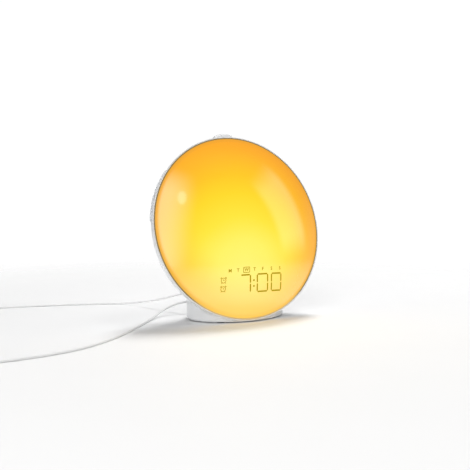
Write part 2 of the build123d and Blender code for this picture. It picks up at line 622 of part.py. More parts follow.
def plate_screws():
    """The screws that hold the light board to the reflector, heads at the back."""
    back = LEDGE_Y + LED_BOARD_THICK
    fixed = [
        rod(PLATE_SCREW, (LEDGE_Y - 0.8, back), x, z) + rod(PLATE_SCREW * 2, (back, back + 1.2), x, z)
        for x, z in plate_screw_places()
    ]
    return Compound(children=[solid for shape in fixed for solid in face(shape).solids()])


# ---------------------------------------------------------------- display
def display_place():
    """Carries a shape from the display's frame, +Z out of its front, to the clock's frame."""
    lean = asin(-DISPLAY_Z / DOME_RADIUS)
    outward = Vector(0, -cos(lean), -sin(lean))
    surface = Vector(0, sphere_y(DOME_RADIUS, -DISPLAY_Z), DISPLAY_Z)
    origin = surface - outward * DISPLAY_SINK
    return Pos(0, RIM_Y, RIM_HEIGHT) * Rot(-TILT, 0, 0) * Plane(origin=origin, x_dir=(1, 0, 0), z_dir=outward).location


def display_pocket(z):
    """The rectangular recess in the display's front, between two depths."""
    return block((CASE_WALL - DISPLAY_HALF, DISPLAY_HALF - CASE_WALL), (-POCKET_HALF, POCKET_HALF), z)


def display_case():
    """The wedge that carries the display from the reflector to just behind the dome."""
    deep = display_place() * block((-DISPLAY_HALF, DISPLAY_HALF), (-CASE_HALF, CASE_HALF), (-30, 0))
    case = deep & face(block((-99, 99), (-99, LEDGE_Y - REFLECTOR_THICK), (-99, 99)))
    return case - display_place() * display_pocket((-WINDOW_THICK - SEGMENT_THICK, 1))


def display_window():
    return display_place() * display_pocket((-WINDOW_THICK, 0))


def digit_bars():
    """Middle, length along X and length along Y of a digit's seven bars, about its own middle."""
    wide, tall = DIGIT_WIDTH / 2 - SEGMENT / 2, DIGIT_HEIGHT / 2 - SEGMENT / 2
    flat, upright = DIGIT_WIDTH - 2 * SEGMENT, DIGIT_HEIGHT / 2 - 2 * SEGMENT
    bars = [((0, y), flat, SEGMENT) for y in (-tall, 0, tall)]
    bars += [((x, y), SEGMENT, upright) for x in (-wide, wide) for y in (-tall / 2, tall / 2)]
    return bars


def display_segments():
    """Seven bars a digit, the colon, the weekday marks and the two alarm marks."""
    low = -WINDOW_THICK - SEGMENT_THICK
    z = (low, -WINDOW_THICK)
    digit_y = -1.9
    shapes = []
    for left in DIGIT_LEFTS:
        for (x, y), length, width in digit_bars():
            centre_x, centre_y = left + DIGIT_WIDTH / 2 + x, digit_y + y
            shapes.append(block((centre_x - length / 2, centre_x + length / 2),
                                (centre_y - width / 2, centre_y + width / 2), z))
    for y in (digit_y - 3, digit_y + 3):
        shapes.append(post(SEGMENT / 2, z, COLON_X, y))
    for day in range(7):
        x = (day - 3) * DAY_PITCH
        half = DAY_SIZE / 2
        shapes.append(block((x - half, x + half), (DAY_Z - half, DAY_Z + half), z))
    for y in (digit_y + 4.2, digit_y - 4.2):
        shapes.append(post(ALARM_RADIUS * 0.5, z, ALARM_X + 1.2, y))
    placed = [display_place() * shape for shape in shapes]
    return Compound(children=[solid for shape in placed for solid in shape.solids()])


def display_ribbon():
    """The flat cable from the display's case back to the main board."""
    start = LEDGE_Y - REFLECTOR_THICK
    low = DISPLAY_Z - 4.5
    thick = 0.4
    top = BOARD_Z[0] + 4
    outline = [
        (start, low), (start + 9, low), (BOARD_Y[0], top - 2), (BOARD_Y[0], top), (start + 8.5, low + thick),
        (start, low + thick),
    ]
    return face(side_prism(outline, 5.5))


# ---------------------------------------------------------------- main board
def main_board():
    board = block(BOARD_X, BOARD_Y, BOARD_Z)
    board -= [rod(BOARD_SCREW + 0.2, (20, 30), x, z) for x, z in BOARD_POSTS]
    return face(board)


def board_parts():
    """Chips, capacitors, a coil and sockets on the board's front."""
    front = BOARD_Y[0]
    chips = [
        block((-12, 0), (front - 1.6, front), (-22, -10)),
        block((8, 16), (front - 1.4, front), (-18, -12)),
        block((22, 34), (front - 3.0, front), (-40, -34)),
        block((-34, -24), (front - 5.0, front), (-32, -24)),
        block((-36, -22), (front - 6.0, front), (-12, -6)),
    ]
    cans = [rod(3.2, (front - 9, front), x, -26) for x in (14, 22, 30)]
    return Compound(children=[solid for shape in chips + cans for solid in face(shape).solids()])


def board_screws():
    """The four screws that hold the main board to its studs."""
    front = BOARD_Y[0]
    fixed = [
        rod(BOARD_SCREW, (front, BOARD_Y[1] + 2.6), x, z) + rod(BOARD_SCREW * 2, (front - 1.2, front), x, z)
        for x, z in BOARD_POSTS
    ]
    return Compound(children=[solid for shape in fixed for solid in face(shape).solids()])


# ---------------------------------------------------------------- speaker
def at_speaker(shape):
    return face(Pos(0, 0, SPEAKER_Z) * shape)


def speaker_frame():
    """The pressed basket: flange on the boss, sloping wall, floor on the magnet."""
    seat = SPEAKER_SEAT
    outline = Polyline(
        (SPEAKER_RADIUS, seat), (SPEAKER_RADIUS, seat - 1.2), (18.0, seat - 1.2), (13.4, MAGNET_TOP),
        (6.6, MAGNET_TOP), (6.6, MAGNET_TOP + 1.2), (12.6, MAGNET_TOP + 1.2), (BASKET_MOUTH, seat - 0.8),
        (BASKET_MOUTH, seat), close=True,
    )
    basket = turned(outline)
    windows = [Rot(0, 60 * k, 0) * block((12, 17), (MAGNET_TOP + 2.6, seat - 3.0), (-3.2, 3.2)) for k in range(6)]
    holes = [Pos(0, 0, -SPEAKER_Z) * hole for hole in speaker_screw_rods(SPEAKER_SCREW + 0.2, (seat - 4, seat + 1))]
    return at_speaker(basket - windows - holes)


def speaker_magnet():
    """The ring magnet with its pole, and the gap that the voice coil moves in."""
    body = rod(12.5, (MAGNET_TOP - 7.5, MAGNET_TOP))
    gap = rod(COIL_OUTER + 0.4, (MAGNET_TOP - 5.5, MAGNET_TOP + 1)) - rod(COIL_INNER - 0.4, (0, 40))
    return at_speaker(body - gap)


def crown(radius, low, high):
    """Three points on a dome's profile, from its edge up to the axis."""
    rise = high - low
    curve = (radius**2 + rise**2) / (2 * rise)
    return (radius, low), (radius / 2, high - curve + sqrt(curve**2 - radius**2 / 4)), (0, high)


def speaker_cone():
    """The paper cone, its dust cap and its voice coil."""
    edge, throat = SPEAKER_SEAT - 0.6, SPEAKER_SEAT - 6.6
    outline = (
        Polyline((CONE_RADIUS - 0.4, edge), (CONE_RADIUS, edge), (CONE_RADIUS, edge - 0.5), (COIL_OUTER, throat),
                 (COIL_OUTER, MAGNET_TOP - 3.2), (COIL_INNER, MAGNET_TOP - 3.2), (COIL_INNER, throat + 0.2))
        + ThreePointArc(*crown(COIL_INNER, throat + 0.2, throat + 1.5))
        + Line((0, throat + 1.5), (0, throat + 2.0))
        + ThreePointArc(*reversed(crown(COIL_OUTER + 0.2, throat + 0.6, throat + 2.0)))
        + Line((COIL_OUTER + 0.2, throat + 0.6), (CONE_RADIUS - 0.4, edge))
    )
    return at_speaker(turned(outline))


def speaker_surround():
    """The soft half roll between the cone's edge and the basket's mouth."""
    low, thick = SPEAKER_SEAT - 0.6, 0.4
    middle, roll = (CONE_RADIUS + BASKET_MOUTH) / 2, (BASKET_MOUTH - CONE_RADIUS) / 2
    outline = (
        ThreePointArc((CONE_RADIUS, low), (middle, low + roll), (BASKET_MOUTH, low))
        + Line((BASKET_MOUTH, low), (BASKET_MOUTH - thick, low))
        + ThreePointArc((BASKET_MOUTH - thick, low), (middle, low + roll - thick), (CONE_RADIUS + thick, low))
        + Line((CONE_RADIUS + thick, low), (CONE_RADIUS, low))
    )
    return at_speaker(turned(outline))


def speaker_screws():
    shanks = speaker_screw_rods(SPEAKER_SCREW, (SPEAKER_SEAT - 1.2, SPEAKER_SEAT + 3.6))
    heads = speaker_screw_rods(1.7, (SPEAKER_SEAT - 2.2, SPEAKER_SEAT - 1.2))
    return Compound(children=[solid for a, b in zip(shanks, heads) for solid in face(a + b).solids()])


# ---------------------------------------------------------------- sockets and cords
def jack_socket():
    """The power socket's body with its mouth and centre pin."""
    low = JACK_FACE - JACK_LENGTH
    body = block((JACK_X - 5, JACK_X + 5), (low, JACK_FACE), (JACK_Z - 5.5, JACK_Z + 5.5))
    mouth = rod(JACK_BORE, (JACK_FACE - 9.5, JACK_FACE + 1), JACK_X, JACK_Z)
    pin = rod(1.0, (JACK_FACE - 10, JACK_FACE - 1), JACK_X, JACK_Z)
    return body - (mouth - pin)


def aerial_grommet():
    """The soft bush that the aerial comes out of, flanged outside the wall."""
    bush = post(GROMMET_RADIUS, (-WALL - 1, 0)) + post(GROMMET_RADIUS + 1.2, (1.0, 2.0))
    bush += Pos(0, 0, 0.5) * Cylinder(GROMMET_RADIUS, 1.0)
    return grommet_place() * (bush - post(AERIAL_WIDTH / 2, (-9, 9)))


def cord_tube(name, route, width):
    """A round cord along straight runs joined by the largest tangent arcs that the runs allow."""
    points = [Vector(*point) for point in route]
    radii = []
    for before, corner, after in zip(points, points[1:], points[2:]):
        shorter = min((corner - before).length, (after - corner).length)
        turn = radians((corner - before).get_angle(after - corner))
        radii.append(0.45 * shorter / tan(turn / 2))
    path = FilletPolyline(*points, radius=radii)
    tube = sweep(Plane(origin=path @ 0, z_dir=path % 0) * Circle(width / 2), path=path)
    print(name, "radii", [round(radius) for radius in radii], "length", round(path.length, 1),
          "volume over section times length", round(tube.volume / (pi * width**2 / 4 * path.length), 4))
    return tube


def coil_radii(width):
    """Inner and outer radius of a put-away coil."""
    return (COIL_ACROSS - COIL_SIDE) * width / 2, (COIL_ACROSS + COIL_SIDE) * width / 2


def cord_coil(centre, width):
    """The closed outer shape of a put-away coil, lying on its tie."""
    inner, outer = coil_radii(width)
    top = TIE_THICK + COIL_LAYERS * width
    ring = post(outer, (TIE_THICK, top)) - post(inner, (0, top + 1))
    ring = fillet(ring.edges().filter_by(GeomType.CIRCLE), width * 0.4)
    return Pos(*centre, 0) * ring


def cord_tie(centre, width, turn):
    """The strap round a coil's turns, at an angle round the coil."""
    inner, outer = coil_radii(width)
    top = TIE_THICK + COIL_LAYERS * width
    strap = block((inner - TIE_THICK, outer + TIE_THICK), (-TIE_WIDTH / 2, TIE_WIDTH / 2), (0, top + TIE_THICK))
    return Pos(*centre, 0) * Rot(0, 0, turn) * (strap - (post(outer, (TIE_THICK, top)) - post(inner, (0, 99))))


def power_plug():
    """The right-angled plug's moulded body and its tapered strain relief."""
    body = block((JACK_X - PLUG_HALF, JACK_X + PLUG_HALF), (JACK_RECESS, PLUG_BACK),
                 (JACK_Z - PLUG_HALF, JACK_Z + PLUG_HALF))
    body = fillet(body.edges().filter_by(Axis.Y) + body.faces().sort_by(Axis.Y)[-1].edges(), 1.2)
    start = POWER_ROUTE[0]
    length = RELIEF_START - RELIEF_END
    relief = Pos(RELIEF_START - length / 2, start[1], start[2]) * Rot(0, -90, 0) * Cone(
        RELIEF_THICK, POWER_WIDTH / 2 + 0.7, length)
    return body + relief


def plug_barrel():
    """The metal barrel, over the socket's pin."""
    limits = (JACK_FACE - 8.5, JACK_RECESS)
    return rod(BARREL, limits, JACK_X, JACK_Z) - rod(1.3, (0, 99), JACK_X, JACK_Z)


def usb_place():
    """Carries the USB plug's frame, +X out of its shell, to where it lies beside the power lead's coil."""
    lane = coil_radii(POWER_WIDTH)[1] - POWER_WIDTH / 2
    return Pos(*POWER_COIL, 0) * Rot(0, 0, USB_TURN) * Pos(USB_AWAY + USB_RELIEF + USB_BODY[0] / 2, lane, 0)


def usb_plug():
    """The lead's USB plug: its moulded body and its tapered relief."""
    length, width, thick = USB_BODY
    body = block((-length / 2, length / 2), (-width / 2, width / 2), (0, thick))
    body = fillet(body.edges(), 1.5)
    relief = Pos(-length / 2 - USB_RELIEF / 2, 0, thick / 2) * Rot(0, -90, 0) * Cone(3.2, 1.9, USB_RELIEF)
    return usb_place() * (body + relief)


def usb_shell():
    length, width, thick = USB_SHELL
    start, middle = USB_BODY[0] / 2, USB_BODY[2] / 2
    x = (start, start + length)
    shell = block(x, (-width / 2, width / 2), (middle - thick / 2, middle + thick / 2))
    shell -= block((start + 1, x[1] + 1), (-width / 2 + 0.4, width / 2 - 0.4), (middle - 1.85, middle + 1.85))
    tongue = block(x, (-width / 2 + 0.4, width / 2 - 0.4), (middle + 0.2, middle + 1.85))
    return usb_place() * (shell + tongue)


NODES = {
    "diffuser": diffuser, "rim_seal": rim_seal, "rear_housing": rear_housing, "base_plate": base_plate,
    "battery_door": battery_door, "coin_cell": coin_cell, "cell_holder": cell_holder,
    "cell_contacts": cell_contacts, "base_screws": base_screws, "rubber_feet": rubber_feet,
    "snooze_key": snooze_key, "snooze_switch": snooze_switch, "snooze_board": snooze_board,
    "reflector": reflector, "led_board": led_board, "leds": leds, "plate_screws": plate_screws,
    "display_case": display_case, "display_window": display_window, "display_segments": display_segments,
    "display_ribbon": display_ribbon, "main_board": main_board, "board_parts": board_parts,
    "board_screws": board_screws, "speaker_frame": speaker_frame, "speaker_magnet": speaker_magnet,
    "speaker_cone": speaker_cone, "speaker_surround": speaker_surround, "speaker_screws": speaker_screws,
    "jack_socket": jack_socket, "aerial_grommet": aerial_grommet, "power_plug": power_plug,
    "plug_barrel": plug_barrel, "usb_plug": usb_plug, "usb_shell": usb_shell,
    "power_cord": lambda: cord_tube("power_cord", POWER_ROUTE, POWER_WIDTH),
    "power_coil": lambda: cord_coil(POWER_COIL, POWER_WIDTH),
    "power_tie": lambda: cord_tie(POWER_COIL, POWER_WIDTH, 200),
    "aerial_wire": lambda: cord_tube("aerial_wire", AERIAL_ROUTE, AERIAL_WIDTH),
    "aerial_coil": lambda: cord_coil(AERIAL_COIL, AERIAL_WIDTH),
    "aerial_tie": lambda: cord_tie(AERIAL_COIL, AERIAL_WIDTH, 160),
}


def main():
    for node, make in NODES.items():
        save(node, make())
    for side, word in ((-1, "left"), (1, "right")):
        for number, angle in enumerate(KEY_ANGLES, 1):
            save(f"key_{word}_{number}", side_key(angle, side))
        save(f"switches_{word}", side_switches(side))
        save(f"carrier_{word}", key_carrier(side))


main()
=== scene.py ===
# %% [markdown]
# # A sunrise alarm clock
#
# The clock is a shallow glowing dome in a white housing that leans back on an oval foot. Its solid parts
# come from a CAD model, which is loaded below and never moved. This lesson dresses that model: it gives
# every part a finish, and makes in Blender what a solid model can't show, such as the figures on the dome
# and the cords.
#
# All sizes are in millimetres, because that is how such a product is drawn, and they become metres in one
# place. The table is at z = 0 and the clock looks along -Y.

import json
from math import cos, degrees, pi, radians, sin, sqrt

import bmesh
import bpy
from mathutils import Matrix, Vector


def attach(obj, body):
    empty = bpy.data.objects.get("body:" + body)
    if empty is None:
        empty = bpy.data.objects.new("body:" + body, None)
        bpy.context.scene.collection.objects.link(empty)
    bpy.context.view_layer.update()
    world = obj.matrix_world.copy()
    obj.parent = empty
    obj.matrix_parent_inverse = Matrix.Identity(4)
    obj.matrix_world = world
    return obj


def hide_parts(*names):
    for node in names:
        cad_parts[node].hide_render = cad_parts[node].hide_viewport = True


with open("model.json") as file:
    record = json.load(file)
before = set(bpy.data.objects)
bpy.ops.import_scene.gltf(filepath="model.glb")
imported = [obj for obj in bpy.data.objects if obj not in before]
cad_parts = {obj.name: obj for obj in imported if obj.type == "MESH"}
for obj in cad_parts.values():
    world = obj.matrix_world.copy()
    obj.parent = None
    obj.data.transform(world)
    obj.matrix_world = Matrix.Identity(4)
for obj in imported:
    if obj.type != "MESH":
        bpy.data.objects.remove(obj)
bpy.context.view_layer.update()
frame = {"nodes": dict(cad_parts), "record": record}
nodes = frame["nodes"]
MM = 0.001

# %% [markdown]
# ## The camera
#
# A product camera stands back and uses a longish lens, so that the round face stays round. The camera
# could be turned by hand, but working its place out from a point to aim at, two angles and a distance
# says the same thing in a few numbers that can each be changed alone. The lamps are placed by the same
# two angles later on.

# %% Place the camera
AIM = Vector((-5.9, -7.7, 82.1)) * MM
CAMERA_DISTANCE = 700 * MM
CAMERA_SIDE, CAMERA_RISE = -28.84, 3.53      # degrees from straight in front, and up from level
LENS, SENSOR = 54.84, 36.0


def direction(side, rise):
    """A unit vector away from the clock, turned by degrees from the front and raised by degrees."""
    side, rise = radians(side), radians(rise)
    return Vector((sin(side) * cos(rise), -cos(side) * cos(rise), sin(rise)))


towards_camera = direction(CAMERA_SIDE, CAMERA_RISE)
camera_data = bpy.data.cameras.new("camera")
camera_data.lens, camera_data.sensor_width = LENS, SENSOR
camera = bpy.data.objects.new("camera", camera_data)
camera.location = AIM + towards_camera * CAMERA_DISTANCE
camera.rotation_euler = towards_camera.to_track_quat("Z", "Y").to_euler()
bpy.context.scene.collection.objects.link(camera)
bpy.context.scene.camera = camera
print("camera at", [round(value, 3) for value in camera.location])

# %% [markdown]
# ## The cords
#
# Two cords leave the foot's back: the power lead, out of its right-angled plug, and a thinner wire
# aerial. A real cord is a smooth curve that lies where its weight puts it, so each is one NURBS spline,
# drawn along a few listed points, and Blender gives it a round section. The bevel depth stays 1 and
# the points carry the radius, because Blender also measures the curve's box by its points' radius. The
# length that isn't laid out is wound up, as it would be in its box: a loop walks round the coil one lane
# after another.


# %% A cord's spline
def cord(name, points, width):
    """A smooth round cord along points in millimetres."""
    curve = bpy.data.curves.new(name, "CURVE")
    curve.dimensions = "3D"
    curve.bevel_depth = 1.0
    curve.bevel_resolution = 3
    curve.resolution_u = 4
    curve.use_fill_caps = True
    spline = curve.splines.new("NURBS")
    spline.points.add(len(points) - 1)
    for knot, point in zip(spline.points, points):
        knot.co, knot.radius = (*(Vector(point) * MM), 1), width / 2 * MM
    spline.order_u = 3
    spline.use_endpoint_u = True
    piece = bpy.data.objects.new(name, curve)
    bpy.context.scene.collection.objects.link(piece)
    return piece


def cord_length(points):
    """Length in metres of the spline that the points make, read from a copy with no bevel."""
    bare = cord("bare", points, 0)
    bare.data.bevel_depth = 0
    mesh = bpy.data.meshes.new_from_object(bare)
    line = [vertex.co for vertex in mesh.vertices]
    bpy.data.objects.remove(bare)
    return sum((b - a).length for a, b in zip(line, line[1:]))


# %% A coil's turns
TIE_THICK = 0.5
STEPS = 16                 # points in a turn
CROSSING = 0.2             # share of a turn in which the cord moves to its next lane
REACH = 6.5                # radius of the outermost lane, in widths of the cord


def coil(centre, width, lanes, start, turns):
    """Points of a clockwise winding. A lane is its place across the coil, 0 outermost, and its layer."""
    points = []
    for step in range(1, round(turns * STEPS)):
        lap, part = divmod(step / STEPS, 1)
        now, later = lanes[int(lap)], lanes[min(int(lap) + 1, len(lanes) - 1)]
        move = max(0, (part - 1 + CROSSING) / CROSSING)
        side, layer = (a + (b - a) * move for a, b in zip(now, later))
        radius = (REACH - side) * width
        angle = start - 2 * pi * step / STEPS
        height = TIE_THICK + (layer + 0.5) * width
        points.append((centre[0] + radius * cos(angle), centre[1] + radius * sin(angle), height))
    return points


# %% The power lead
POWER_WIDTH = 2.0
POWER_ROUTE = [
    (-31.0, 41.5, 12.0), (-38.0, 41.5, 12.0), (-46.5, 41.9, 10.6), (-55.5, 41.0, 8.0), (-65.5, 37.0, 4.9),
    (-78.5, 25.5, 2.0), (-96.5, 4.0, 1.0), (-118.5, -21.5, 1.0), (-146.0, -50.0, 1.0), (-181.0, -74.5, 1.0),
    (-221.0, -85.2, 1.0), (-261.0, -87.2, 1.0),
]
POWER_COIL = (-261.8, -74.2)
POWER_LANES = [
    (0, 0), (1, 0), (2, 0), (2, 1), (1, 1), (1, 2), (2, 2), (2, 3), (1, 3), (1, 4), (0, 4), (0, 3),
    (0, 2), (0, 1),
]
POWER_START, POWER_TURNS = radians(-93), 13.24
POWER_TAIL = [(-274.8, -69.2, 3.6), (-274.8, -63.2, 3.8), (-274.8, -57.2, 4.0)]

power_winding = coil(POWER_COIL, POWER_WIDTH, POWER_LANES, POWER_START, POWER_TURNS)
power_points = POWER_ROUTE + power_winding + POWER_TAIL
power_lead = cord("power_lead", power_points, POWER_WIDTH)
power_length = cord_length(power_points)
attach(power_lead, "clock")
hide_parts("power_cord", "power_coil")
print("power lead", round(power_length, 3), "m")

# %% The aerial
AERIAL_WIDTH = 1.8
AERIAL_ROUTE = [
    (-27.164, 30.023, 21.0), (-30.507, 37.292, 21.0), (-34.3, 45.0, 20.0), (-38.4, 53.4, 17.9),
    (-45.6, 66.0, 13.6), (-52.5, 84.0, 8.8), (-60.5, 106.0, 4.2), (-72.0, 124.5, 1.3), (-94.0, 137.0, 0.9),
    (-131.0, 149.5, 0.9), (-175.0, 160.0, 0.9), (-215.0, 166.2, 0.9),
]
AERIAL_COIL = (-213.2, 177.8)
AERIAL_LANES = [(side if layer % 2 == 0 else 2 - side, layer) for layer in range(5) for side in range(3)]
AERIAL_START, AERIAL_TURNS = radians(-99), 14.9

aerial_points = AERIAL_ROUTE + coil(AERIAL_COIL, AERIAL_WIDTH, AERIAL_LANES, AERIAL_START, AERIAL_TURNS)
aerial = cord("aerial", aerial_points, AERIAL_WIDTH)
aerial_length = cord_length(aerial_points)
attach(aerial, "clock")
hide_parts("aerial_wire", "aerial_coil")
print("aerial", round(aerial_length, 3), "m")

# %% [markdown]
# ## A small kit for mixing finishes
#
# A finish in Blender is a graph of nodes. Wired one by one, the plumbing soon hides the idea, so three
# small classes do it. `Value` wraps one socket and lets Python's own operators add the Math nodes, so a
# mask reads as the formula it is. `Graph` is any node tree, and its `add` makes any other node from its
# type, its settings and its inputs. `Finish` is the graph of one material.


# %% Values that vary over a surface
class Value:
    """One output of a node, with the arithmetic that a formula needs."""

    def __init__(self, graph, socket):
        self.graph, self.socket = graph, socket

    def math(self, operation, first, second=0.0):
        return self.graph.add("ShaderNodeMath", {"operation": operation}, {0: first, 1: second})

    def __add__(self, other):
        return self.math("ADD", self, other)

    def __sub__(self, other):
        return self.math("SUBTRACT", self, other)

    def __rsub__(self, other):
        return self.math("SUBTRACT", other, self)

    def __mul__(self, other):
        return self.math("MULTIPLY", self, other)

    def __truediv__(self, other):
        return self.math("DIVIDE", self, other)

    def __pow__(self, other):
        return self.math("POWER", self, other)

    __radd__, __rmul__ = __add__, __mul__

    def wave(self):
        """A sine of the value, moved to run from 0 to 1."""
        return self.math("SINE", self) * 0.5 + 0.5

    def rise(self, low, high, start=0.0, end=1.0):
        """Goes smoothly from start to end while the value goes from low to high."""
        settings = {"interpolation_type": "SMOOTHSTEP"}
        return self.graph.add("ShaderNodeMapRange", settings, {0: self, 1: low, 2: high, 3: start, 4: end})


# %% Graphs of nodes
class Graph:
    """The node tree of a material, a lamp or the world."""

    def __init__(self, owner):
        owner.use_nodes = True
        self.tree = owner.node_tree

    def join(self, socket, value):
        """Links a value to a socket, or sets the socket to a number or a colour."""
        if isinstance(value, Value):
            self.tree.links.new(value.socket, socket)
        elif socket.type == "RGBA":
            socket.default_value = (*value, 1)
        else:
            socket.default_value = value

    def add(self, kind, settings=None, inputs=None, output=0):
        """Adds a node, sets it up, fills its inputs and gives one of its outputs."""
        node = self.tree.nodes.new(kind)
        for name, setting in (settings or {}).items():
            if name == "stops":
                ramp = node.color_ramp.elements
                while len(ramp) < len(setting):
                    ramp.new(1)
                for element, (position, colour) in zip(ramp, setting):
                    element.position, element.color = position, (*colour, 1)
            else:
                setattr(node, name, setting)
        for name, value in (inputs or {}).items():
            self.join(node.inputs[name], value)
        return Value(self, node.outputs[output])

    def parts(self, vector):
        """The three parts of a vector."""
        split = self.add("ShaderNodeSeparateXYZ", inputs={0: vector}).socket.node
        return [Value(self, output) for output in split.outputs]


# %% Finishes
class Finish(Graph):
    """One material: a Principled surface and the nodes that feed it."""

    def __init__(self, name, colour, roughness, **sockets):
        self.material = bpy.data.materials.new(name)
        super().__init__(self.material)
        self.surface = self.tree.nodes["Principled BSDF"].inputs
        self.set("Base Color", colour)
        self.set("Roughness", roughness)
        for socket, value in sockets.items():
            self.set(socket.replace("_", " "), value)

    def set(self, socket, value):
        self.join(self.surface[socket], value)

    def place(self):
        """Where a point is on the clock, in metres."""
        return self.add("ShaderNodeTexCoord", output="Object")

    def axes(self):
        """The place's three parts, in millimetres."""
        return [part * (1 / MM) for part in self.parts(self.place())]

    def noise(self, size, detail=2.0, stretch=(1, 1, 1)):
        """Soft lumps about size millimetres across, longer along an axis whose stretch is over 1."""
        scale = [1 / (size * MM * part) for part in stretch]
        place = self.add("ShaderNodeMapping", {"vector_type": "POINT"}, {0: self.place(), 3: scale})
        return self.add("ShaderNodeTexNoise", inputs={"Vector": place, "Scale": 1.0, "Detail": detail})

    def grains(self, size):
        """Grains about size millimetres across, 0 in the middle of each and more towards its edge."""
        return self.add("ShaderNodeTexVoronoi", inputs={"Vector": self.place(), "Scale": 1 / (size * MM)})

    def blend(self, mask, low, high):
        """One colour where the mask is 0, and another where it is 1."""
        return self.add("ShaderNodeMix", {"data_type": "RGBA"}, {0: mask, 6: low, 7: high}, output=2)

    def bump(self, height, depth):
        """Raises the surface by a height from 0 to 1, times a depth in millimetres."""
        self.set("Normal", self.add("ShaderNodeBump", inputs={"Height": height, "Distance": depth * MM}))


finishes = {}
print("the kit is ready")

# %% [markdown]
# ## Moulded plastics and rubbers
#
# Most of the clock is injection moulded. A mould is finely blasted so that the plastic comes out satin:
# the surface carries a grain a few tenths of a millimetre across and only microns deep, and the gloss
# wanders a little where the plastic cooled at different speeds. A flat colour looks like a toy, so each
# plastic gets both, from noise on Object coordinates, which are real lengths here.


# %% Moulded finishes
DRIFT_SIZE, DRIFT = 28.0, 0.05            # how far the colour's drift spreads, and how much darker it gets
SHEEN_SIZE, SHEEN = 6.0, 0.05             # how far the gloss wanders, and how much the roughness changes


def moulded(slot, colour, roughness, grain=0.4, depth=0.006, **sockets):
    """A moulded finish whose colour and gloss drift a little over a few centimetres."""
    finish = Finish(slot, colour, roughness, **sockets)
    darker = [part * (1 - DRIFT) for part in colour]
    finish.set("Base Color", finish.blend(finish.noise(DRIFT_SIZE), colour, darker))
    finish.set("Roughness", finish.noise(SHEEN_SIZE).rise(0.2, 0.8, roughness - SHEEN, roughness + SHEEN))
    finish.bump(finish.noise(grain, 3.0), depth)
    finishes[slot] = finish
    return finish


SEAL_GLOW_FULL, SEAL_GLOW_GONE = 13.0, 29.0          # heights between which the seal's painted glow fades out, full below and gone above

moulded("housing", (0.84, 0.85, 0.86), 0.42, depth=0.003)
moulded("key", (0.70, 0.71, 0.73), 0.38, grain=0.3)
moulded("snooze", (0.86, 0.86, 0.86), 0.45, grain=0.5)
# The seal is a dark rubber ring, and its darkness also stands in for shade in the gap between the dome and
# the housing. Its emission is a painted glow, bright at the bottom and fading out higher up.
seal = moulded("seal", (0.20, 0.16, 0.08), 0.55, Emission_Strength=1.0)
painted_glow_fade = seal.axes()[2].rise(SEAL_GLOW_FULL, SEAL_GLOW_GONE)
seal.set("Emission Color", seal.blend(painted_glow_fade, (0.50, 0.34, 0.13), (0.10, 0.06, 0.01)))
moulded("pad", (0.022, 0.022, 0.024), 0.75, grain=0.5, depth=0.02)
moulded("inner_white", (0.78, 0.78, 0.76), 0.60)
moulded("inner_black", (0.020, 0.020, 0.023), 0.48)
moulded("foam", (0.016, 0.016, 0.016), 0.90, grain=0.35, depth=0.08)
moulded("cord", (0.80, 0.80, 0.80), 0.45, grain=0.6, depth=0.004)
print(len(finishes), "moulded finishes")

# %% [markdown]
# ## Metals
#
# A zinc-plated screw or a stamped frame is never a mirror: it keeps faint marks along the way it was
# worked. Noise stretched along one axis gives those marks, and it feeds the roughness so that highlights
# streak.


# %% Metal finishes
SCRATCH_SIZE, SCRATCH_DEPTH = 0.25, 0.002
POLISHED, SCUFFED = 0.08, 0.12            # how much smoother and rougher the scratches make it
TARNISH_SIZE, TARNISH = 5.0, 0.18         # how far tarnish spreads, and how much darker it is


def metal(slot, colour, roughness, stretch):
    """A bare or plated metal with fine scratches along one direction."""
    finish = Finish(slot, colour, roughness, Metallic=1.0)
    scratches = finish.noise(SCRATCH_SIZE, 3.0, stretch)
    tarnish = finish.noise(TARNISH_SIZE, 3.0).rise(0.35, 0.75)
    finish.set("Base Color", finish.blend(tarnish, colour, [part * (1 - TARNISH) for part in colour]))
    finish.set("Roughness", scratches.rise(0.3, 0.7, roughness - POLISHED, roughness + SCUFFED))
    finish.bump(scratches, SCRATCH_DEPTH)
    finishes[slot] = finish


metal("steel", (0.60, 0.61, 0.63), 0.34, (8, 1, 1))
metal("nickel", (0.66, 0.64, 0.60), 0.20, (1, 6, 6))
print("metals done")

# %% [markdown]
# ## Inside parts
#
# A part that is sold for reuse is looked at with its dome off too, so the inside gets real finishes: a
# circuit board has a lacquer over copper tracks that stand slightly proud, a speaker's cone is pressed
# paper with fibres in it, its magnet is a grainy ceramic, and a ribbon cable shows its parallel wires.

# %% Circuit boards
TRACK_PITCH, TRACK_HEIGHT = 1.3, 0.03
PATCH_SIZE = 9.0                          # the tracks run in patches about this large

board = Finish("board", (0.010, 0.090, 0.035), 0.35, Coat_Weight=0.4)
lanes = (board.axes()[0] * (2 * pi / TRACK_PITCH)).wave()
patches = board.noise(PATCH_SIZE, 1.0)
tracks = lanes.rise(0.55, 0.7) * patches.rise(0.46, 0.52)
board.set("Base Color", board.blend(tracks, (0.008, 0.075, 0.030), (0.022, 0.170, 0.060)))
board.bump(tracks, TRACK_HEIGHT)
finishes["board"] = board

# %% The speaker's paper and magnet
FIBRE_SIZE, FIBRE_DETAIL, FIBRE_DEPTH = 0.5, 6.0, 0.05
CERAMIC_SIZE, CERAMIC_DEPTH = 0.6, 0.02

paper = Finish("paper_cone", (0.018, 0.018, 0.020), 0.85)
flat_fibres = paper.noise(FIBRE_SIZE, FIBRE_DETAIL, (5, 1, 1))
upright_fibres = paper.noise(FIBRE_SIZE, FIBRE_DETAIL, (1, 1, 5))
fibres = flat_fibres * 0.5 + upright_fibres * 0.5
paper.set("Base Color", paper.blend(fibres.rise(0.4, 0.7), (0.012, 0.012, 0.014), (0.045, 0.045, 0.048)))
paper.bump(fibres, FIBRE_DEPTH)
finishes["paper_cone"] = paper

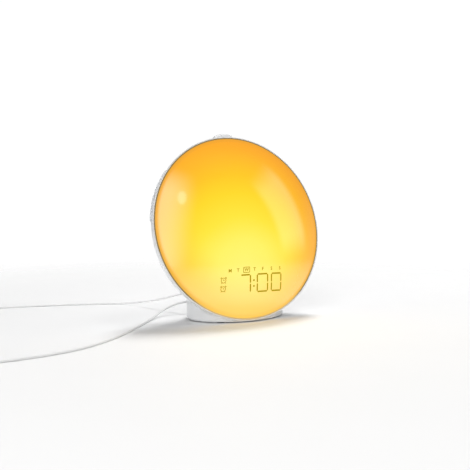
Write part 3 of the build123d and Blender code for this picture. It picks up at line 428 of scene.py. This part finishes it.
magnet = Finish("ferrite", (0.030, 0.030, 0.033), 0.60)
ceramic = magnet.grains(CERAMIC_SIZE)
magnet.set("Base Color", magnet.blend(ceramic.rise(0.1, 0.6), (0.045, 0.045, 0.048), (0.018, 0.018, 0.020)))
magnet.bump(ceramic, CERAMIC_DEPTH)
finishes["ferrite"] = magnet

# %% The ribbon cable and the ties
WIRE_PITCH, WIRE_HEIGHT = 1.0, 0.15
LOOP_SIZE, LOOP_HEIGHT = 0.45, 0.12       # the ties are faced with small woven loops

ribbon = Finish("ribbon", (0.55, 0.54, 0.50), 0.45)
wires = (ribbon.axes()[0] * (2 * pi / WIRE_PITCH)).wave()
ribbon.set("Base Color", ribbon.blend(wires, (0.38, 0.37, 0.34), (0.60, 0.59, 0.55)))
ribbon.bump(wires, WIRE_HEIGHT)
finishes["ribbon"] = ribbon

tie = Finish("tie", (0.018, 0.018, 0.020), 0.80)
loops = tie.grains(LOOP_SIZE)
tie.set("Base Color", tie.blend(loops.rise(0.1, 0.6), (0.050, 0.050, 0.055), (0.010, 0.010, 0.012)))
tie.bump(1 - loops, LOOP_HEIGHT)
finishes["tie"] = tie

# %% The lamps inside and the display's window
PHOSPHOR_SIZE = 0.8
RIPPLE_SIZE, RIPPLE_DEPTH = 12.0, 0.02    # moulded clear plastic is never quite flat

lamps = Finish("led", (0.85, 0.60, 0.10), 0.30, Emission_Strength=0.8)
lamps.set("Emission Color", lamps.blend(lamps.noise(PHOSPHOR_SIZE), (0.9, 0.55, 0.05), (1.0, 0.75, 0.20)))
finishes["led"] = lamps

window = Finish("smoke", (0.05, 0.03, 0.01), 0.08, Alpha=0.6)
window.bump(window.noise(RIPPLE_SIZE), RIPPLE_DEPTH)
finishes["smoke"] = window
print(len(finishes), "finishes in all")

# %% [markdown]
# ## The glowing dome
#
# The dome is an opal shell lit from behind by amber and white lamps, most strongly low in the middle,
# behind the figures. Path tracing light through a scattering shell is slow and noisy, and all that it
# would bring is a smooth change of colour over the surface. So the shell's outside glows by itself, and
# its colour is worked out in four steps: it goes from yellow to orange with the distance from the middle
# of the glow, turns amber towards the rim, where the lamps reach less, gets paler towards the bottom, and
# is shaded in a thin ring next to the seal. A clear, slightly soft gloss on top then picks up the
# studio's lamps.

# %% Where the face is
TILT = radians(14.0)
RIM_Y, RIM_HEIGHT, RIM_RADIUS = -7.7, 90.0, 90.0
DOME_BULGE = 26.0
DOME_RADIUS = (RIM_RADIUS**2 + DOME_BULGE**2) / (2 * DOME_BULGE)
RIM_MIDDLE = Vector((0, RIM_Y, RIM_HEIGHT)) * MM
FACE = Matrix.Translation(RIM_MIDDLE) @ Matrix.Rotation(-TILT, 4, "X") @ Matrix.Scale(MM, 4)
print("the dome's sphere has a radius of", round(DOME_RADIUS, 1), "mm")

# %% The dome's finish
GLOW_ACROSS, GLOW_UP, GLOW_REACH = -12.0, -42.0, 150.0     # the brightest place, and how far its light runs
EDGE_START, EDGE_END, EDGE_SHARE = 45.0, 92.0, 0.55        # the amber edge, outwards from the middle
EDGE_SHIFT = 4.0                                           # it is wider on the right
PALE_END, PALE_START, PALE_SHARE = -75.0, -25.0, 0.35      # the pale bottom, down from the middle
RING_START, RING_END, RING_SHARE = 84.5, 89.5, 0.65        # the shaded ring next to the seal
RING_LOW, RING_HIGH, RING_LEAST = -85.0, -55.0, 0.35       # it is weaker at the bottom
GLOSS_START, GLOSS_END, GLOSS_LEAST = 86.0, 88.5, 0.15     # the gloss ends just before the seal
WAVE_SIZE, WAVE_DEPTH = 30.0, 0.02                         # the shell isn't quite even

dome = Finish(
    "dome", (0.08, 0.04, 0.005), 0.60, Specular_IOR_Level=0.0, Coat_Roughness=0.10, Coat_IOR=1.8,
    Emission_Strength=1.07,
)
across, y, z = dome.axes()
up = (y - RIM_Y) * sin(TILT) + (z - RIM_HEIGHT) * cos(TILT)
from_glow = ((across - GLOW_ACROSS) ** 2 + (up - GLOW_UP) ** 2) ** 0.5
from_middle = (across**2 + up**2) ** 0.5
glow = dome.add("ShaderNodeValToRGB", {"stops": [
    (0.00, (1.00, 0.880, 0.150)), (0.17, (1.00, 0.860, 0.110)), (0.32, (1.00, 0.780, 0.040)),
    (0.47, (1.00, 0.680, 0.016)), (0.60, (1.00, 0.560, 0.010)), (0.74, (1.00, 0.500, 0.012)),
    (0.87, (0.97, 0.400, 0.008)),
]}, {0: from_glow / GLOW_REACH})
edge = (((across + EDGE_SHIFT) ** 2 + up**2) ** 0.5).rise(EDGE_START, EDGE_END, 0.0, EDGE_SHARE)
pale = up.rise(PALE_END, PALE_START, PALE_SHARE, 0.0)
ring = from_middle.rise(RING_START, RING_END, 0.0, RING_SHARE)
ring = ring * up.rise(RING_LOW, RING_HIGH, RING_LEAST, 1.0)
glow = dome.blend(edge, glow, (0.95, 0.36, 0.02))
glow = dome.blend(pale, glow, (1.00, 0.72, 0.26))
dome.set("Emission Color", dome.blend(ring, glow, (0.62, 0.30, 0.04)))
dome.set("Coat Weight", from_middle.rise(GLOSS_START, GLOSS_END, 1.0, GLOSS_LEAST))
dome.bump(dome.noise(WAVE_SIZE, 1.0), WAVE_DEPTH)
finishes["dome"] = dome

# %% [markdown]
# ## Figures on the dome
#
# A segment display shines through the dome's wall, so the time, the weekdays and two alarm signs show on
# its skin as thin darker marks. They could be painted by a mask in the dome's material, but small crisp
# shapes are easier to lay out as meshes: each mark is drawn flat, a hair thick, and then every vertex is
# dropped onto the dome's sphere. A bar of a digit is a cube whose four upright edges are bevelled, which
# gives it the usual points.

# %% Drawing on the sphere
MARK_LIFT = 0.12


def on_dome(drawing):
    """Lays a flat drawing, with X across, Y up and Z from 0 to 1 towards the eye, on the dome."""
    for vertex in drawing.verts:
        radius = DOME_RADIUS + MARK_LIFT * vertex.co.z
        depth = DOME_RADIUS - DOME_BULGE - sqrt(radius**2 - vertex.co.x**2 - vertex.co.y**2)
        vertex.co = FACE @ Vector((vertex.co.x, depth, vertex.co.y))
    bmesh.ops.recalc_face_normals(drawing, faces=drawing.faces)


def bar(drawing, across, up, length, width, turn=0.0, point=0.45):
    """A bar with pointed ends about a middle, turned by degrees."""
    place = Matrix.Translation((across, up, 0.5)) @ Matrix.Rotation(radians(turn), 4, "Z")
    made = bmesh.ops.create_cube(drawing, size=1, matrix=place @ Matrix.Diagonal((length, width, 1, 1)))
    edges = {edge for vertex in made["verts"] for edge in vertex.link_edges}
    upright = [edge for edge in edges if abs(edge.verts[0].co.z - edge.verts[1].co.z) > 0.5]
    bmesh.ops.bevel(
        drawing, geom=upright, offset=point * width, segments=1, profile=0.5, affect="EDGES", material=-1
    )


def piece_from(drawing, name, slot, body="clock"):
    """Turns a bmesh into a finished piece that moves with a body."""
    mesh = bpy.data.meshes.new(name)
    drawing.to_mesh(mesh)
    drawing.free()
    piece = bpy.data.objects.new(name, mesh)
    bpy.context.scene.collection.objects.link(piece)
    mesh.materials.append(finishes[slot].material)
    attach(piece, body)
    print(name, len(mesh.polygons), "faces")


# %% The marks' finish
UNEVEN_SIZE = 3.0                        # the marks aren't lit quite evenly

marks = Finish("segment", (0.010, 0.006, 0.001), 0.60, Specular_IOR_Level=0.0, Emission_Strength=1.0)
marks.set("Emission Color", marks.blend(marks.noise(UNEVEN_SIZE), (0.42, 0.29, 0.004), (0.48, 0.33, 0.006)))
finishes["segment"] = marks

# %% The time
DIGIT_WIDTH, DIGIT_HEIGHT, DIGIT_UP = 11.8, 16.0, -57.65     # between the bars' middles, and their centre
STROKE, SLANT = 1.4, radians(3.5)
SEGMENTS = {                             # across and up in half digits, and whether the bar lies flat
    "top": (0, 1, True), "high left": (-1, 0.5, False), "high right": (1, 0.5, False),
    "low left": (-1, -0.5, False), "low right": (1, -0.5, False), "foot": (0, -1, True),
}
SHOWN = {"7": ["top", "high right", "low right"], "0": list(SEGMENTS)}
TIME = [("7", -11.2), ("0", 8.1), ("0", 24.5)]
COLON, DOT = -1.55, 1.7
GAP = 0.6                                # between the ends of two bars
OPEN_END = 1.8                           # a flat bar is this much shorter where no upright bar meets it

time_marks = bmesh.new()
for figure, middle in TIME:
    for name in SHOWN[figure]:
        side, level, flat = SEGMENTS[name]
        rise = level * DIGIT_HEIGHT / 2
        across = middle + side * DIGIT_WIDTH / 2 - rise * SLANT
        length = DIGIT_WIDTH if flat else DIGIT_HEIGHT / 2
        if flat and "high left" not in SHOWN[figure]:
            length, across = length - OPEN_END, across + OPEN_END / 2
        bar(time_marks, across, DIGIT_UP + rise, length - GAP, STROKE, 0 if flat else 90 + degrees(SLANT))
for rise in (-DIGIT_HEIGHT / 6, DIGIT_HEIGHT / 6):
    bar(time_marks, COLON - rise * SLANT, DIGIT_UP + rise, DOT, DOT, point=0.2)
on_dome(time_marks)
piece_from(time_marks, "time_marks", "segment")

# %% The weekdays
TODAY = -9.8
DAYS = [("M", -26.5), ("T", -18.6), ("W", TODAY), ("T", -1.3), ("F", 7.8), ("S", 17.9), ("S", 28.3)]
DAY_HEIGHT, DAY_UP = 3.1, -45.0
BOLDER = 0.02                                    # the letters' outlines grow by this, to read at their size
BOX_ACROSS, BOX_UP, BOX_LINE = 6.4, 4.8, 0.6     # the box round today's letter
BOX_CORNER = 0.2                                 # its flat lines reach this far past the upright ones


def letter(drawing, text, across, up, height):
    """A letter of Blender's own font, made a mesh and sized to a height."""
    curve = bpy.data.curves.new("letter", "FONT")
    curve.body, curve.align_x, curve.align_y = text, "CENTER", "CENTER"
    curve.extrude, curve.offset = 0.5, BOLDER
    writing = bpy.data.objects.new("letter", curve)
    mesh = bpy.data.meshes.new_from_object(writing)
    tall = max(v.co.y for v in mesh.vertices) - min(v.co.y for v in mesh.vertices)
    scale = height / tall
    mesh.transform(Matrix.Translation((across, up, 0.5)) @ Matrix.Diagonal((scale, scale, 1, 1)))
    drawing.from_mesh(mesh)
    bpy.data.objects.remove(writing)


day_marks = bmesh.new()
for initial, across in DAYS:
    letter(day_marks, initial, across, DAY_UP, DAY_HEIGHT)
for side in (-1, 1):
    bar(day_marks, TODAY, DAY_UP + side * BOX_UP / 2, BOX_ACROSS + 2 * BOX_CORNER, BOX_LINE)
    bar(day_marks, TODAY + side * BOX_ACROSS / 2, DAY_UP, BOX_UP, BOX_LINE, 90)
on_dome(day_marks)
piece_from(day_marks, "day_marks", "segment")

# %% The alarm signs
SIGN_ACROSS, SIGN_UPS = -32.6, (-53.2, -60.9)
SIGN_RADIUS, SIGN_STEPS = 2.2, 12
RING_BAR = (1.25, 0.55)                  # length and width of one step of a sign's ring
SIGN_BARS = [                            # across and up from the sign's middle, length, width and turn
    (0, 0.6, 1.4, 0.5, 90), (0.5, 0, 1.2, 0.5, 0),                  # the two hands
    (-2.3, 2.3, 1.9, 0.8, 45), (-1.8, -2.4, 1.1, 0.6, 50),          # the left bell and foot
    (2.3, 2.3, 1.9, 0.8, -45), (1.8, -2.4, 1.1, 0.6, -50),          # the right bell and foot
]

sign_marks = bmesh.new()
for up in SIGN_UPS:
    for step in range(SIGN_STEPS):
        turn = 2 * pi * step / SIGN_STEPS
        place = (SIGN_ACROSS + SIGN_RADIUS * cos(turn), up + SIGN_RADIUS * sin(turn))
        bar(sign_marks, *place, *RING_BAR, 90 + degrees(turn), point=0.1)
    for aside, above, length, width, turn in SIGN_BARS:
        bar(sign_marks, SIGN_ACROSS + aside, up + above, length, width, turn)
on_dome(sign_marks)
piece_from(sign_marks, "sign_marks", "segment")

# %% [markdown]
# ## Dress the parts
#
# The CAD parts keep their meshes. Each one's material slot gets the finish that its record names.

# %% Give every part its finish
for row in frame["record"]["subparts"]:
    for slot in nodes[row["node"]].material_slots:
        slot.material = finishes[row["material_slot"]].material
for piece in (power_lead, aerial):
    piece.data.materials.append(finishes["cord"].material)

# %% [markdown]
# ## The studio
#
# The clock stands on a white table that fades into a white world, which gives the clean background. A
# world that is seen as white would also wash out the glossy dome, so it sends out less light than it
# shows: its Light Path node tells a ray from the camera from every other ray. It is also dimmer overhead
# than at the horizon.
#
# Lamps do the rest. The dome mirrors whatever stands in front of it or beside it, so each lamp there is
# seen as a shape: the right box and the left box are the two pale bands, whose edges fade as a box's
# light does, and the round lamp is the bright spot. The weak fill box lights the housing's left side. The
# back box and the top box light the table and throw the shadows, in front of the foot and behind it.
# Neither may be seen in the dome, so they are hidden from mirrored rays. The Standard view shows each
# colour as it was mixed.

# %% The table
TABLE_CLEAR, TABLE_FADE = 0.12, 0.75      # metres from the clock between which the table fades out
TABLE_DROP = 0.1                          # millimetres below the feet, so that they don't share its plane
TABLE_SIDES = 96
LUMP_SIZE, SPECK_SIZE, SPECK_DEPTH = 80.0, 1.5, 0.02

table_drawing = bmesh.new()
bmesh.ops.create_circle(table_drawing, cap_ends=True, segments=TABLE_SIDES, radius=TABLE_FADE)
for vertex in table_drawing.verts:
    vertex.co.z = -TABLE_DROP * MM
table_mesh = bpy.data.meshes.new("table")
table_drawing.to_mesh(table_mesh)
table_drawing.free()
table = bpy.data.objects.new("table", table_mesh)
bpy.context.scene.collection.objects.link(table)
lacquer = Finish("table", (0.88, 0.88, 0.88), 0.70)
x, y = lacquer.parts(lacquer.place())[:2]
lacquer.set("Alpha", ((x**2 + y**2) ** 0.5).rise(TABLE_CLEAR, TABLE_FADE, 1.0, 0.0))
lacquer.set("Base Color", lacquer.blend(lacquer.noise(LUMP_SIZE), (0.89, 0.89, 0.89), (0.87, 0.87, 0.87)))
lacquer.bump(lacquer.noise(SPECK_SIZE), SPECK_DEPTH)
table_mesh.materials.append(lacquer.material)

# %% The world
WORLD_SHOWN = 1.02
WORLD_LOW, WORLD_HIGH = 0.40, 0.12        # the light that it sends out, from the horizon and from overhead
WORLD_TURN = 0.4                          # it has dimmed this far up, as a share of straight up

world = bpy.data.worlds.new("studio")
sky = Graph(world)
upwards = sky.parts(sky.add("ShaderNodeTexCoord", output="Generated"))[2]
sent = upwards.rise(0.0, WORLD_TURN, WORLD_LOW, WORLD_HIGH)
seen = sky.add("ShaderNodeLightPath", output="Is Camera Ray")
sky.join(sky.tree.nodes["Background"].inputs["Strength"], sent + seen * (WORLD_SHOWN - sent))
sky.join(sky.tree.nodes["Background"].inputs["Color"], (1, 1, 1))
bpy.context.scene.world = world


# %% The lamps
def soft_box(
    name, side, rise, distance, width, height, radiance, soft=None, shape="RECTANGLE", mirrored=True
):
    """A lamp that faces the clock, at two angles in degrees and metres away. Its light may fade out over a
    share of its width and one of its height, from its edges inwards. Mirrors may be kept from showing it."""
    lamp = bpy.data.lights.new(name, "AREA")
    lamp.shape, lamp.size, lamp.size_y = shape, width, height
    lamp.energy = pi * width * height * (pi / 4 if shape == "ELLIPSE" else 1) * radiance
    if soft:
        glow = Graph(lamp)
        fade = 1.0
        for part, share in zip(glow.parts(glow.add("ShaderNodeNewGeometry", output="Parametric")), soft):
            fade = part.rise(0.0, share) * part.rise(1.0, 1 - share) * fade
        glow.join(glow.tree.nodes["Emission"].inputs["Strength"], fade)
    towards = direction(side, rise)
    stand = bpy.data.objects.new(name, lamp)
    stand.location = RIM_MIDDLE + towards * distance
    stand.rotation_euler = towards.to_track_quat("Z", "Y").to_euler()
    stand.visible_glossy = mirrored
    bpy.context.scene.collection.objects.link(stand)
    print(name, round(lamp.energy, 1), "W")


# Each lamp's name, side, rise, distance, width, height, radiance and, for some, soft edges.
soft_box("right_box", 67, 22, 1.2, 0.76, 1.25, 1.05, (0.22, 0.28))
soft_box("left_box", -43, 22, 1.3, 1.25, 2.80, 2.7, (0.50, 0.30))
soft_box("round_lamp", -27.0, 43.6, 1.4, 0.14, 0.25, 2.1, shape="ELLIPSE")
soft_box("back_box", 133, 65, 1.7, 0.46, 0.46, 35.5, mirrored=False)
soft_box("top_box", 40, 66, 1.5, 0.42, 0.42, 5.5, mirrored=False)
soft_box("fill_box", -96, 5, 1.3, 0.50, 0.60, 2.6)
bpy.context.scene.view_settings.view_transform = "Standard"
